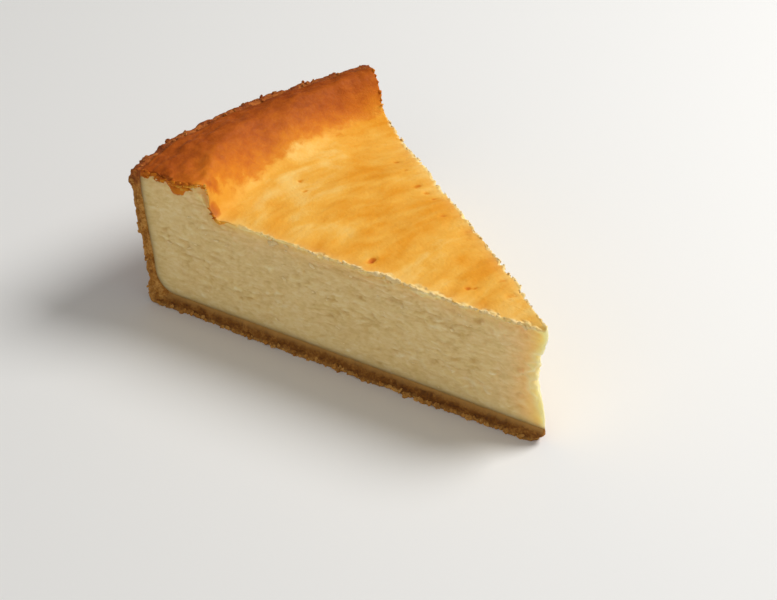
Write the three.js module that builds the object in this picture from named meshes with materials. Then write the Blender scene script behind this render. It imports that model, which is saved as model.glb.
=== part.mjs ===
// A slice of baked cheesecake: a thin shortcrust case holding a set cheese filling whose top has
// browned, most of all along the raised rim. Millimetres, +Z up.
//
// The shapes are worked out in the frame of the whole cake: a radius from the cake's axis and an
// angle from the slice's middle line. The slice is then moved so that the middle of its underside
// is the origin. Its tip points to -Y, its rim to +Y, and its near cut faces -X.
// Where three values are given for one dimension, they are for the near cut, the middle line and
// the far cut.

import * as THREE from "three";
import { mergeGeometries, mergeVertices } from "three/addons/utils/BufferGeometryUtils.js";

const { lerp, smoothstep, degToRad } = THREE.MathUtils;

// Driving dimensions of the slice
const RIM_RADIUS = 130; // a cake baked in a 26 cm ring
const SLICE_ANGLE = degToRad(37.35);
const MIDDLE_HEIGHT = 35.5; // the sunken middle of the top
const RIM_HEIGHT = [42.4, 43.5, 44.6]; // top of the pastry wall
const JOINT_SPACE = 0.3; // left between the pastry and the filling

// Pastry case
const FLOOR_THICKNESS = 5;
const WALL_THICKNESS = 3.0;
const FOOT_RADIUS = 126.9; // outside of the wall, above its rounded foot
const WALL_TOP_RADIUS = 130.4; // outside of the wall, below its lip
const FOOT_ROUNDING = 2.6;
const LIP_BULGE = 1.4; // how far the lip under the rim stands out
const LIP_HEIGHT = 38.2;
const WAIST_DEPTH = 0.8; // the hollow between foot and wall
const WAIST_HEIGHT = 8.4;
const INNER_CORNER = 6; // radius where floor and wall meet inside
const BASE_SPREAD = 0.6; // how far the crumbs of the lower edge stand out of a cut

// Tip of the slice: sharp at the skin and at the pastry, dragged back between them by the knife
const TIP_RADIUS = 0.7;
const TIP_RECESS = 3.3;
const TIP_RECESS_FROM = [7, 17]; // heights over which the recess starts and ends
const TIP_RECESS_TO = [24, 34];
const TIP_BLUNTNESS = 0.35; // the corners of the tip stand back by this share more
const CRUST_TIP_ROUNDING = 2.3;

// The top: it swells towards the tip, sinks before the rim, rises to a crest and falls to the wall
const RISE_RADIUS = [105.5, 114, 121];
const RISE_HALF_WIDTH = [4, 9, 5];
const CREST_RISE = 1.1;
const CREST_RADIUS = 120.5;
const FAR_LIFT = 1.4; // the far side of the front half stands higher
const SINK_DEPTH = [0.2, 0.8, 2];
const SINK_RADIUS = 103;
const SINK_HALF_WIDTH = 20;

// Broken places along the near cut's top edge: radius, half width along the cut,
// how far the skin hangs out over the cut (in where it is torn away), and how far down it reaches
const TORN_SKIN = [
  { radius: 115.5, halfWidth: 4.4, out: 1.1, drop: 5.0 },
  { radius: 107.5, halfWidth: 2.8, out: -2.0, drop: 3.4 },
  { radius: 101.5, halfWidth: 3.0, out: 0.9, drop: 2.6 },
  { radius: 55.5, halfWidth: 2.6, out: 0.7, drop: 1.8 },
  { radius: 49, halfWidth: 2.2, out: -0.7, drop: 1.8 },
  { radius: 38, halfWidth: 3.4, out: 0.6, drop: 2.0 },
];

// Burst bubbles in the skin: radius, angle in degrees, half width, depth
const PITS = [
  { radius: 92.7, angle: 14.6, halfWidth: 2.8, depth: 0.9 },
  { radius: 87.5, angle: 15.4, halfWidth: 2.6, depth: 0.7 },
  { radius: 78.2, angle: 14.8, halfWidth: 2.4, depth: 0.9 },
  { radius: 72.2, angle: 15.6, halfWidth: 2.4, depth: 0.9 },
  { radius: 61.8, angle: 14.6, halfWidth: 2.4, depth: 0.8 },
  { radius: 57.1, angle: -12.7, halfWidth: 2.4, depth: 1.1 },
  { radius: 97.5, angle: -2.0, halfWidth: 2.6, depth: 0.6 },
  { radius: 29.3, angle: -3.4, halfWidth: 2.2, depth: 0.6 },
  { radius: 19.7, angle: 12.5, halfWidth: 2.0, depth: 0.5 },
];

// Steps of the faceted surfaces
const FILLING_ALONG = 60;
const FILLING_ACROSS = 22;
const FILLING_UP = 13;
const FLOOR_ALONG = 52;
const WALL_ACROSS = 28;
const WALL_UP = 16;
const CRUST_THROUGH = 3;

// A repeatable number from -1 to 1 for each crossing of a grid
function knot(i, j, seed) {
  const s = Math.sin(i * 12.9898 + j * 78.233 + seed * 37.719) * 43758.5453;
  return 2 * (s - Math.floor(s)) - 1;
}

// Smooth noise from -1 to 1, one lump for each unit of x and y
function noise(x, y, seed) {
  const i = Math.floor(x);
  const j = Math.floor(y);
  const u = smoothstep(x - i, 0, 1);
  const v = smoothstep(y - j, 0, 1);
  const low = lerp(knot(i, j, seed), knot(i + 1, j, seed), u);
  const high = lerp(knot(i, j + 1, seed), knot(i + 1, j + 1, seed), u);
  return lerp(low, high, v);
}

// A rounded hump: 1 at the middle, 0 beyond its half width
function hump(distance, halfWidth) {
  return 1 - smoothstep(Math.abs(distance), 0, halfWidth);
}

// A value given at the near cut, the middle line and the far cut, for a share across the slice
function acrossSlice([near, middle, far], share) {
  const side = share < 0.5 ? near : far;
  return lerp(middle, side, smoothstep(Math.abs(share - 0.5), 0, 0.5));
}

// Steps that lie closer together towards the rim, where the finer forms are
function closerAtRim(share) {
  return share + 0.12 * Math.sin(Math.PI * share);
}

// Steps that lie closer together at the floor's rounded corner and at the torn skin
function closerAtEnds(share) {
  return lerp(share, smoothstep(share, 0, 1), 0.55);
}

// Height of the baked top
function topHeight(radius, angle) {
  const share = angle / SLICE_ANGLE + 0.5;
  const x = radius * Math.sin(angle);
  const y = radius * Math.cos(angle);
  const middleOfRise = acrossSlice(RISE_RADIUS, share);
  const reach = acrossSlice(RISE_HALF_WIDTH, share);
  const rise = smoothstep(radius, middleOfRise - reach, middleOfRise + reach);
  const sink = acrossSlice(SINK_DEPTH, share) * hump(radius - SINK_RADIUS, SINK_HALF_WIDTH);
  const lift = FAR_LIFT * share * (1 - smoothstep(radius, 55, 75));
  const swell = 0.35 * noise(x / 16, y / 16, 1) + 0.2 * noise(x / 6, y / 4, 2);
  const inside = MIDDLE_HEIGHT + lift - sink + swell;
  const crest = CREST_RISE * (1 - smoothstep(radius, CREST_RADIUS, WALL_TOP_RADIUS));
  const rim = acrossSlice(RIM_HEIGHT, share) + crest;
  const crags = rise * (0.45 * noise(x / 5, y / 5, 3) + 0.35 * noise(x / 2.4, y / 2.4, 4));
  const pits = PITS.reduce((sum, pit) => {
    const away = Math.hypot(radius - pit.radius, radius * (angle - degToRad(pit.angle)));
    return sum + pit.depth * hump(away, pit.halfWidth);
  }, 0);
  return lerp(inside, rim, rise) + crags - pits;
}

// Relief of a cut through the filling, outwards: long smears that follow the knife,
// with softer lumps towards the tip
function cutRelief(radius, height, seed) {
  const drift = 1.6 * noise(radius / 26, height / 12, seed);
  const smears = 0.32 * noise(radius / 11, (height + drift) / 2.6, seed + 1);
  const lumps = 0.4 * noise(radius / 7, height / 6, seed + 2) * (1 - smoothstep(radius, 10, 50));
  const sway = 0.45 * noise(radius / 34, height / 40, seed + 3);
  return smears + lumps + sway;
}

// Skin dragged over the near cut, or torn out of it
function tornSkin(radius, belowTop) {
  return TORN_SKIN.reduce((sum, tear) => {
    const down = 1 - smoothstep(belowTop, tear.drop * 0.55, tear.drop);
    return sum + tear.out * hump(radius - tear.radius, tear.halfWidth) * down;
  }, 0);
}

// Crumbs that stand out of the broken pastry
function crumbs(along, height, seed) {
  return 0.4 * noise(along / 4, height / 3.2, seed) + 0.3 * noise(along / 9, height / 5, seed + 1);
}

// The section of the filling starts this far from the cake's axis, at a share across the slice
function tipRadius(height, share) {
  const below = smoothstep(height, ...TIP_RECESS_FROM);
  const above = 1 - smoothstep(height, ...TIP_RECESS_TO);
  const worn = TIP_RECESS * below * above * (1 + 0.12 * noise(height / 2.6, 0, 9));
  return (TIP_RADIUS + worn) * (1 + TIP_BLUNTNESS * (2 * share - 1) ** 2);
}

// The pastry's tip is rounded off at the base
function crustTipRadius(height, share) {
  const round = CRUST_TIP_ROUNDING * (1 - smoothstep(height, 0, 3));
  return (TIP_RADIUS + round) * (1 + TIP_BLUNTNESS * (2 * share - 1) ** 2);
}

// How far the wall's outside has leant from the foot to the ring it was baked in
function wallLean(height) {
  return lerp(FOOT_RADIUS, WALL_TOP_RADIUS, smoothstep(height, 6, 40));
}

function wallOutside(height) {
  const lip = LIP_BULGE * hump(height - LIP_HEIGHT, 5);
  const waist = WAIST_DEPTH * hump(height - WAIST_HEIGHT, 2.8);
  const under = Math.max(0, FOOT_ROUNDING - height);
  const foot = FOOT_ROUNDING - Math.sqrt(FOOT_ROUNDING ** 2 - under ** 2);
  return wallLean(height) + lip - waist - foot;
}

// The wall's inside is rounded into the floor
function wallInside(height) {
  const under = Math.max(0, INNER_CORNER - (height - FLOOR_THICKNESS));
  const corner = INNER_CORNER - Math.sqrt(Math.max(0, INNER_CORNER ** 2 - under ** 2));
  return wallLean(height) - WALL_THICKNESS - corner;
}

// A point of the whole cake's frame, pushed out of the cut that it lies in
function place(radius, angle, height, outOfNear, outOfFar) {
  const half = SLICE_ANGLE / 2;
  const point = new THREE.Vector3(radius * Math.sin(angle), radius * Math.cos(angle), height);
  const nearNormal = new THREE.Vector3(-Math.cos(half), -Math.sin(half), 0);
  const farNormal = new THREE.Vector3(Math.cos(half), -Math.sin(half), 0);
  return point.addScaledVector(nearNormal, outOfNear).addScaledVector(farNormal, outOfFar);
}

// How much of a cut's relief reaches a point: all at the cut, none inside the slice
function atNear(share) {
  return (1 - share) ** 10;
}

function atFar(share) {
  return share ** 10;
}

// A point on the filling: along from tip to wall, across from near to far cut, up from floor to top
function fillingPoint(along, across, up) {
  const angle = (across - 0.5) * SLICE_ANGLE;
  const reach = closerAtRim(along);
  const rise = closerAtEnds(up);
  const bottom = FLOOR_THICKNESS + JOINT_SPACE;
  const rim = acrossSlice(RIM_HEIGHT, across);
  const level = lerp(bottom, lerp(MIDDLE_HEIGHT, rim, reach ** 6), rise);
  const outer = wallInside(level - JOINT_SPACE) - JOINT_SPACE;
  const widest = wallInside(rim) - JOINT_SPACE;
  const straight = lerp(tipRadius(level, across), widest, reach);
  const radius = straight - (widest - outer) * reach ** 8;
  const top = topHeight(radius, angle);
  const height = lerp(bottom, top, rise);
  const ease = smoothstep(height - bottom, 0, 3) * (1 - smoothstep(radius, outer - 4, outer));
  const near = ease * (cutRelief(radius, height, 20) + tornSkin(radius, top - height));
  const far = ease * cutRelief(radius, height, 40);
  const narrow = lerp(0.35, 1, smoothstep(radius, 0, 12)); // the tip is too thin for full relief
  return place(radius, angle, height, near * atNear(across) * narrow, far * atFar(across) * narrow);
}

// A point on the pastry's section, from its outside (through 0) to its inside (through 1).
// The first steps run out along the floor and the others climb the wall.
function crustSection(step, through, across) {
  if (step <= FLOOR_ALONG) {
    const height = lerp(0, FLOOR_THICKNESS, through);
    const reach = lerp(wallOutside(0), wallInside(FLOOR_THICKNESS), through);
    return { radius: lerp(crustTipRadius(height, across), reach, step / FLOOR_ALONG), height };
  }
  const climb = ((step - FLOOR_ALONG) / WALL_UP) ** 1.3;
  const rim = acrossSlice(RIM_HEIGHT, across);
  const outerHeight = (rim - 0.8) * climb;
  const innerHeight = lerp(FLOOR_THICKNESS, rim, climb);
  const radius = lerp(wallOutside(outerHeight), wallInside(innerHeight), through);
  const crown = 0.5 * climb ** 12 * Math.sin(Math.PI * through);
  return { radius, height: lerp(outerHeight, innerHeight, through) + crown };
}

// A point on the pastry, across from near to far cut
function crustPoint(step, through, across) {
  const angle = (across - 0.5) * SLICE_ANGLE;
  const { radius, height } = crustSection(step, through, across);
  const onWall = step > FLOOR_ALONG ? 1 : 0;
  const arc = RIM_RADIUS * angle;
  const baked = 0.35 * noise(arc / 5, height / 4, 60) + 0.25 * noise(arc / 2, height / 2.4, 61);
  const outwards = onWall * smoothstep(height, 0, 2) * (1 - through) * baked;
  const ragged = 0.6 * noise(arc / 3.4, 0, 62) + 0.4 * noise(arc / 1.7, 0, 63);
  const climb = (step - FLOOR_ALONG) / WALL_UP;
  const upwards = onWall * smoothstep(climb, 0.9, 1) * ragged;
  const loose = through === 1 ? 0 : 1; // the edge that meets the filling stays true
  const spread = BASE_SPREAD * Math.max(0, 1 - height / FLOOR_THICKNESS);
  const narrow = lerp(0.3, 1, smoothstep(radius, 0, 10));
  const near = loose * narrow * (crumbs(radius, height, 70) + spread);
  const far = loose * narrow * (crumbs(radius, height, 75) + spread);
  const aloft = height + upwards;
  return place(radius + outwards, angle, aloft, near * atNear(across), far * atFar(across));
}

// A grid of quads between the points that pointAt gives; turned faces the other way
function gridPatch(columns, rows, pointAt, turned = false) {
  const positions = [];
  for (let j = 0; j <= rows; j++)
    for (let i = 0; i <= columns; i++) positions.push(...pointAt(i / columns, j / rows));
  const index = [];
  for (let j = 0; j < rows; j++)
    for (let i = 0; i < columns; i++) {
      const a = j * (columns + 1) + i;
      const b = a + 1;
      const c = a + columns + 1;
      const d = c + 1;
      if (turned) index.push(a, c, b, b, c, d);
      else index.push(a, b, c, b, d, c);
    }
  return new THREE.BufferGeometry()
    .setAttribute("position", new THREE.Float32BufferAttribute(positions, 3))
    .setIndex(index);
}

// A flat face inside a closed outline that runs anticlockwise seen from above
function flatPatch(outline, turned = false) {
  const contour = outline.map((p) => new THREE.Vector2(p.x, p.y));
  const faces = THREE.ShapeUtils.triangulateShape(contour, []);
  const index = faces.flatMap(([a, b, c]) => (turned ? [a, c, b] : [a, b, c]));
  return new THREE.BufferGeometry()
    .setAttribute("position", new THREE.Float32BufferAttribute(outline.flatMap((p) => [...p]), 3))
    .setIndex(index);
}

// The outline of a flat face from its four sides: far cut outwards, rim, near cut inwards, tip
function outlineOf(alongSteps, acrossSteps, pointAt) {
  const outline = [];
  for (let i = 0; i < alongSteps; i++) outline.push(pointAt(i / alongSteps, 1));
  for (let i = 0; i < acrossSteps; i++) outline.push(pointAt(1, 1 - i / acrossSteps));
  for (let i = 0; i < alongSteps; i++) outline.push(pointAt(1 - i / alongSteps, 0));
  for (let i = 0; i < acrossSteps; i++) outline.push(pointAt(0, i / acrossSteps));
  return outline;
}

// One closed surface from patches whose edges meet point for point
function closedSurface(patches) {
  const surface = mergeVertices(mergeGeometries(patches), 1e-3);
  surface.computeVertexNormals();
  return surface;
}

function fillingGeometry() {
  return closedSurface([
    gridPatch(FILLING_ALONG, FILLING_ACROSS, (u, s) => fillingPoint(u, s, 1), true),
    flatPatch(outlineOf(FILLING_ALONG, FILLING_ACROSS, (u, s) => fillingPoint(u, s, 0)), true),
    gridPatch(FILLING_ALONG, FILLING_UP, (u, v) => fillingPoint(u, 0, v), true),
    gridPatch(FILLING_ALONG, FILLING_UP, (u, v) => fillingPoint(u, 1, v)),
    gridPatch(FILLING_ACROSS, FILLING_UP, (s, v) => fillingPoint(0, s, v)),
    gridPatch(FILLING_ACROSS, FILLING_UP, (s, v) => fillingPoint(1, s, v), true),
  ]);
}

function crustGeometry() {
  const steps = FLOOR_ALONG + WALL_UP;
  const onFloor = (through) => (u, s) => crustPoint(Math.round(u * FLOOR_ALONG), through, s);
  const onWall = (through) => (s, v) => crustPoint(FLOOR_ALONG + Math.round(v * WALL_UP), through, s);
  const onCut = (s) => (u, v) => crustPoint(Math.round(u * steps), v, s);
  return closedSurface([
    flatPatch(outlineOf(FLOOR_ALONG, WALL_ACROSS, onFloor(0)), true),
    flatPatch(outlineOf(FLOOR_ALONG, WALL_ACROSS, onFloor(1))),
    gridPatch(WALL_ACROSS, WALL_UP, onWall(0), true),
    gridPatch(WALL_ACROSS, WALL_UP, onWall(1)),
    gridPatch(steps, CRUST_THROUGH, onCut(0), true),
    gridPatch(steps, CRUST_THROUGH, onCut(1)),
    gridPatch(WALL_ACROSS, CRUST_THROUGH, (s, v) => crustPoint(0, v, s)),
    gridPatch(WALL_ACROSS, CRUST_THROUGH, (s, v) => crustPoint(steps, v, s), true),
  ]);
}

function piece(name, geometry, colour, roughness) {
  const material = new THREE.MeshStandardMaterial({ color: colour, roughness, metalness: 0 });
  const mesh = new THREE.Mesh(geometry, material);
  mesh.name = name;
  return mesh;
}

const slice = new THREE.Group();
slice.add(piece("filling", fillingGeometry(), 0xf0b04b, 0.55));
slice.add(piece("pastry_crust", crustGeometry(), 0xb5813f, 0.85));

// The origin is the middle of the underside
const box = new THREE.Box3().setFromObject(slice);
const middle = box.getCenter(new THREE.Vector3());
slice.position.set(-middle.x, -middle.y, -box.min.z);

export default slice;
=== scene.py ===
# %% [markdown]
# A slice of baked cheesecake is two things baked together: a thin shortcrust case, and a set cheese
# filling that is creamy white inside. The oven turned the filling's top golden, and red-brown along
# the raised rim. The knife left long smears on the cuts and broke crumbs out of the pastry.
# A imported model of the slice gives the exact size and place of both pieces. This lesson builds a
# finer mesh over each of them, adds crumbs and scraps of skin, and then the finishes and the light.

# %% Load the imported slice
import math

import bmesh
import bpy
import numpy as np
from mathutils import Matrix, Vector


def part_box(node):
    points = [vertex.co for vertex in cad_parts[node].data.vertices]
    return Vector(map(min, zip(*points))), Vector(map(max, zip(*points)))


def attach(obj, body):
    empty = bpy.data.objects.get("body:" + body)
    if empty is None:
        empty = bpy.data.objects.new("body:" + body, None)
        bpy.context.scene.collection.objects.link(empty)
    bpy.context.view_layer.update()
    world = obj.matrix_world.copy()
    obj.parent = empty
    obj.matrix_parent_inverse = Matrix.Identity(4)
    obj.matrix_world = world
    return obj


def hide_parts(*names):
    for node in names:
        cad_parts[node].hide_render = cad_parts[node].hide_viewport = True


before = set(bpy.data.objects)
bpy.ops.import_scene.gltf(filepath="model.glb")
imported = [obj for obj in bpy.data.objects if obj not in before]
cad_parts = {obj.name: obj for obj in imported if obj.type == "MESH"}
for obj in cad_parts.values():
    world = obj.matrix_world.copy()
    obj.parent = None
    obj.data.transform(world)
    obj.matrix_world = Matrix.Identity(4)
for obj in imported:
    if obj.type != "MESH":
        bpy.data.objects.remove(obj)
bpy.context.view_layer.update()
print("Nodes of the packed slice:", sorted(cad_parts))

# %% [markdown]
# The camera comes first, because it decides which details can be seen. A long lens, well back and
# above the table, keeps the cut's upper and lower edges almost parallel. The place is written as
# two angles and a distance from the point that it looks at, which is easier to read than three
# coordinates.

# %% Camera
MM = 0.001
CAMERA_AZIMUTH = math.radians(-39.83)
CAMERA_ELEVATION = math.radians(35.06)
CAMERA_DISTANCE = 694.8 * MM
CAMERA_LENS = 121.6
CAMERA_TARGET = Vector((-12.34, -16.95, 25.0)) * MM


def direction(azimuth, elevation):
    """The way from the slice to a place round it: azimuth 0 is in front of the tip."""
    flat = math.cos(elevation)
    return Vector((math.sin(azimuth) * flat, -math.cos(azimuth) * flat, math.sin(elevation)))


def add_camera():
    data = bpy.data.cameras.new("camera")
    data.lens = CAMERA_LENS
    data.sensor_width = 36.0
    data.clip_start = 0.01
    camera = bpy.data.objects.new("camera", data)
    bpy.context.scene.collection.objects.link(camera)
    back = direction(CAMERA_AZIMUTH, CAMERA_ELEVATION)
    camera.location = CAMERA_TARGET + back * CAMERA_DISTANCE
    camera.rotation_euler = (-back).to_track_quat("-Z", "Y").to_euler()
    bpy.context.scene.camera = camera
    return camera


camera = add_camera()
print("Camera height:", round(camera.location.z, 3), "m")

# %% [markdown]
# The slice is a wedge of a round cake, so its sizes are named in the whole cake's frame: a radius
# from the cake's axis, an angle from the slice's middle line and a height. A share across the
# slice is 0 at the near cut and 1 at the far one. The rim rose unevenly in the oven, so its height
# is given at several shares.

# %% Sizes of the slice, in millimetres
RIM_RADIUS = 130.0
SLICE_ANGLE = math.radians(37.35)
MIDDLE_HEIGHT = 35.5
RIM_SHARES = (0.0, 0.1, 0.22, 0.4, 0.55, 0.8, 1.0)
RIM_HEIGHTS = (42.4, 43.2, 43.9, 43.5, 43.0, 43.7, 44.6)
FLOOR_THICKNESS = 5.0
WALL_THICKNESS = 3.0
FOOT_RADIUS = 126.9
WALL_TOP_RADIUS = 130.4
BOND = 0.15  # how far the filling reaches into the pastry that it was baked in
print("Whole cake:", 2 * RIM_RADIUS, "mm across")

# %% [markdown]
# Broken and browned places are what make food look real. The first list has the places where the
# knife dragged the browned skin out over the near cut, or tore it away. The second has the burst
# bubbles, which are small dents in the skin, and the spots that are only browner. The third follows
# the brown band along the rim. All are short lists of real places, because chance alone never puts
# them where the eye expects them.

# %% Torn skin, burst bubbles and browned spots
# Torn skin: radius, half width along the cut, how far out it hangs, how far down it reaches
TORN_SKIN = (
    (115.5, 4.4, 1.1, 5.0),
    (107.5, 2.8, -2.0, 3.4),
    (103.0, 2.8, 0.9, 1.7),
    (55.5, 2.6, 0.7, 1.8),
    (49.0, 2.2, -0.7, 1.8),
    (38.0, 3.4, 0.6, 2.0),
)
# Burst bubbles and browned spots: radius, angle in degrees, half width, depth, how brown
SPOTS = (
    (92.2, 14.9, 1.6, 0.25, 0.3),
    (85.6, 14.9, 1.3, 0.2, 0.25),
    (76.9, 14.6, 1.5, 0.35, 0.42),
    (72.6, 15.2, 1.5, 0.35, 0.35),
    (68.6, 15.3, 1.3, 0.35, 0.42),
    (59.3, 13.6, 1.6, 0.25, 0.35),
    (49.9, 17.0, 2.6, 0.3, 0.3),
    (25.1, 12.9, 1.7, 0.2, 0.28),
    (18.1, 8.0, 1.8, 0.3, 0.3),
    (28.5, -5.6, 1.3, 0.35, 0.55),
    (27.2, -3.0, 1.0, 0.2, 0.35),
    (56.4, -13.7, 1.3, 1.0, 0.8),
    (98.7, -1.6, 1.4, 0.35, 0.36),
    (93.6, -3.1, 1.2, 0.3, 0.32),
    (103.7, -18.2, 2.4, 0.0, 0.62),
    (106.8, -16.2, 2.0, 0.2, 0.35),
    (80.0, -3.0, 10.0, 0.0, 0.12),
    (66.0, -5.0, 8.0, 0.0, 0.1),
    (47.6, 4.8, 7.0, 0.0, 0.1),
    (88.0, 8.0, 7.0, 0.0, 0.07),
)
# The inner edge of the brown band along the rim: angles in degrees, and the radius at each
BROWN_EDGE = (
    (-18.7, -11.2, -6.6, -1.8, 1.7, 5.0, 12.5, 18.7),
    (107.4, 107.1, 108.6, 109.2, 111.6, 113.6, 114.8, 119.0),
)
print(len(TORN_SKIN), "torn places and", len(SPOTS), "spots")

# %% [markdown]
# Every surface here is worked out by functions of a place on the slice, so the same few helpers are
# used again and again. Smooth noise gives soft lumps. Cobbles are rounded lumps packed side by
# side, like the crumbs of broken pastry, and they also give each crumb a tone of its own. Both
# start from a sum that scrambles whole numbers, so they come out the same on every run. The last
# number of each call is a seed, which picks the pattern.

# %% Blends, humps and noise
def lerp(low, high, share):
    """A value between low and high: low at a share of 0, high at 1."""
    return low + (high - low) * share


def smoothstep(value, low, high):
    """A soft step: 0 up to low, 1 from high on."""
    share = np.clip((value - low) / (high - low), 0, 1)
    return share * share * (3 - 2 * share)


def hump(distance, half_width):
    """A rounded hump: 1 at the middle, 0 beyond its half width."""
    return 1 - smoothstep(np.abs(distance), 0, half_width)


def knot(column, row, seed):
    """A repeatable number from -1 to 1 for each crossing of a grid."""
    scrambled = np.sin(column * 12.9898 + row * 78.233 + seed * 37.719) * 43758.5453
    return 2 * (scrambled - np.floor(scrambled)) - 1


def noise(x, y, seed):
    """Smooth noise from -1 to 1, one lump for each unit of x and y."""
    column, row = np.floor(x), np.floor(y)
    sideways, up = smoothstep(x - column, 0, 1), smoothstep(y - row, 0, 1)
    low = lerp(knot(column, row, seed), knot(column + 1, row, seed), sideways)
    high = lerp(knot(column, row + 1, seed), knot(column + 1, row + 1, seed), sideways)
    return lerp(low, high, up)


def cobbles(x, y, seed):
    """Packed rounded lumps, one for each unit: their height from 0 to 1, and the lump's own tone."""
    height, tone = np.zeros(np.shape(x)), np.zeros(np.shape(x))
    for sideways in (-1, 0, 1):
        for up in (-1, 0, 1):
            column, row = np.floor(x) + sideways, np.floor(y) + up
            away_x = x - (column + 0.5 + 0.4 * knot(column, row, seed))
            away_y = y - (row + 0.5 + 0.4 * knot(column, row, seed + 1))
            reach = 0.78 + 0.22 * knot(column, row, seed + 2)
            lump = np.sqrt(np.clip(1 - (away_x**2 + away_y**2) / reach**2, 0, 1))
            lump *= 0.75 + 0.25 * knot(column, row, seed + 3)
            tone = np.where(lump > height, knot(column, row, seed + 4), tone)
            height = np.maximum(height, lump)
    return height, tone


print("Noise at one place:", round(float(noise(3.4, 1.2, 7)), 3))

# %% [markdown]
# Three more helpers know the wedge. Where a size has three values, they are for the near cut, the
# middle line and the far cut, and the first helper blends them. The last turns a radius, an angle
# and a height into a point, and pushes it out of the cut that it lies in.

# %% Places on the slice
def across_slice(values, share):
    """A value given at the near cut, the middle line and the far cut, for a share across."""
    near, middle, far = values
    side = np.where(share < 0.5, near, far)
    return lerp(middle, side, smoothstep(np.abs(share - 0.5), 0, 0.5))


def rim_height(share):
    """The rim's height: lowest at the near cut, highest at the far one."""
    return np.interp(share, RIM_SHARES, RIM_HEIGHTS)


def place(radius, angle, height, out_of_near, out_of_far):
    """Points of the whole cake's frame, pushed out of the cut that they lie in."""
    half = SLICE_ANGLE / 2
    near_normal = np.array([-math.cos(half), -math.sin(half), 0.0])
    far_normal = np.array([math.cos(half), -math.sin(half), 0.0])
    points = np.stack([radius * np.sin(angle), radius * np.cos(angle), height], axis=-1)
    return points + out_of_near[..., None] * near_normal + out_of_far[..., None] * far_normal


print("Height of the rim at the near and the far cut:", float(rim_height(0.0)), float(rim_height(1.0)))

# %% [markdown]
# Two details belong to the skin's shape and to its colour alike, so each has one function that both
# can ask. Spots are the burst bubbles and browned places. Lips are the pale crumbs along both edges
# of the top, where the knife broke through the skin.

# %% Spots and lips
def spots_at(radius, angle):
    """How deep the burst bubbles are, and how brown they and the other spots are."""
    uneven = 1 + 0.35 * noise(radius / 1.1, radius * angle / 1.1, 9)
    depth, brown = np.zeros(np.shape(radius)), np.zeros(np.shape(radius))
    for spot_radius, spot_angle, half_width, spot_depth, spot_brown in SPOTS:
        along = (radius - spot_radius) / half_width
        sideways = radius * (angle - math.radians(spot_angle)) / (1.5 * half_width)
        inside = hump(np.hypot(along, sideways) * uneven, 1)
        depth, brown = depth + spot_depth * inside, brown + spot_brown * inside
    return depth, brown


def lip_at(radius, away, far):
    """The pale crumbly lip beside the edge of a cut: its strength, and the height of its crumbs."""
    seed = 35 if far else 15
    near_width = lerp(1.3, 0.5, smoothstep(radius, 58, 72)) + 0.8 * hump(radius - 47, 6)
    near_width = near_width * (1 - smoothstep(radius, 92, 99))
    width = np.where(far, 0.55 * (1 - smoothstep(radius, 110, 118)), near_width)
    uneven = 0.8 * noise(radius / 3.6, 0 * radius, seed) + 0.4 * noise(radius / 1.1, 0 * radius, seed + 1)
    width = width * (1 + uneven)
    crumbs, _ = cobbles(radius / 1.3, away / 1.0, seed + 2)
    return smoothstep(width, 0.05, 0.25) * (1 - smoothstep(away, 0.4 * width, width + 0.15)), crumbs


first_radius, first_angle = SPOTS[0][:2]
_, first_brown = spots_at(first_radius, math.radians(first_angle))
print("How brown the first spot is:", round(float(first_brown), 2))

# %% [markdown]
# The baked top swells a little towards the tip, sinks before the rim and climbs steeply to a crest.
# Under the oven's heat the crest blistered and wrinkled, so the relief there is coarser. The top
# could be sculpted by hand, but as a function of radius and angle it can be asked for its height
# anywhere, which the cuts, the skin's colour and the crumbs all need.

# %% Height of the baked top
RISE_RADIUS = (105.5, 114.0, 121.0)
RISE_HALF_WIDTH = (4.0, 9.0, 5.0)
CREST_RISE = 1.1
CREST_RADIUS = 120.5
FAR_LIFT = 1.4
SINK_DEPTH = (0.2, 0.8, 2.0)
SINK_RADIUS = 103.0
SINK_HALF_WIDTH = 20.0


def rise_at(radius, share):
    """How far the top has climbed to the rim, from 0 to 1."""
    middle, reach = across_slice(RISE_RADIUS, share), across_slice(RISE_HALF_WIDTH, share)
    return smoothstep(radius, middle - reach, middle + reach)


def top_height(radius, angle):
    """Height of the baked skin above the table."""
    share = angle / SLICE_ANGLE + 0.5
    x, y, arc = radius * np.sin(angle), radius * np.cos(angle), radius * angle
    rise = rise_at(radius, share)
    sink = across_slice(SINK_DEPTH, share) * hump(radius - SINK_RADIUS, SINK_HALF_WIDTH)
    lift = FAR_LIFT * share * (1 - smoothstep(radius, 55, 75))
    swell = 0.35 * noise(x / 16, y / 16, 1) + 0.2 * noise(x / 6, y / 4, 2)
    inside = MIDDLE_HEIGHT + lift - sink + swell
    crest = CREST_RISE * (1 - smoothstep(radius, CREST_RADIUS, WALL_TOP_RADIUS))
    rim = rim_height(share) + crest
    crags = rise * (0.45 * noise(x / 5, y / 5, 3) + 0.35 * noise(x / 2.4, y / 2.4, 4))
    wrinkles = 0.1 * noise(arc / 9, radius / 1.6, 5) + 0.05 * noise(x / 0.9, y / 0.9, 6)
    blisters = rise * (0.14 * noise(arc / 2.2, radius / 1.1, 7) + 0.08 * noise(x / 0.8, y / 0.8, 8))
    near_lip, near_crumbs = lip_at(radius, radius * (angle + SLICE_ANGLE / 2), False)
    far_lip, far_crumbs = lip_at(radius, radius * (SLICE_ANGLE / 2 - angle), True)
    lips = near_lip * (0.85 * near_crumbs - 0.5) + far_lip * (0.85 * far_crumbs - 0.5)
    burst, _ = spots_at(radius, angle)
    return lerp(inside, rim, rise) + crags - burst + wrinkles + blisters + lips


sample_radius = np.linspace(5, 125, 7)
print("Top along the middle line:", np.round(top_height(sample_radius, 0 * sample_radius), 1))

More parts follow.
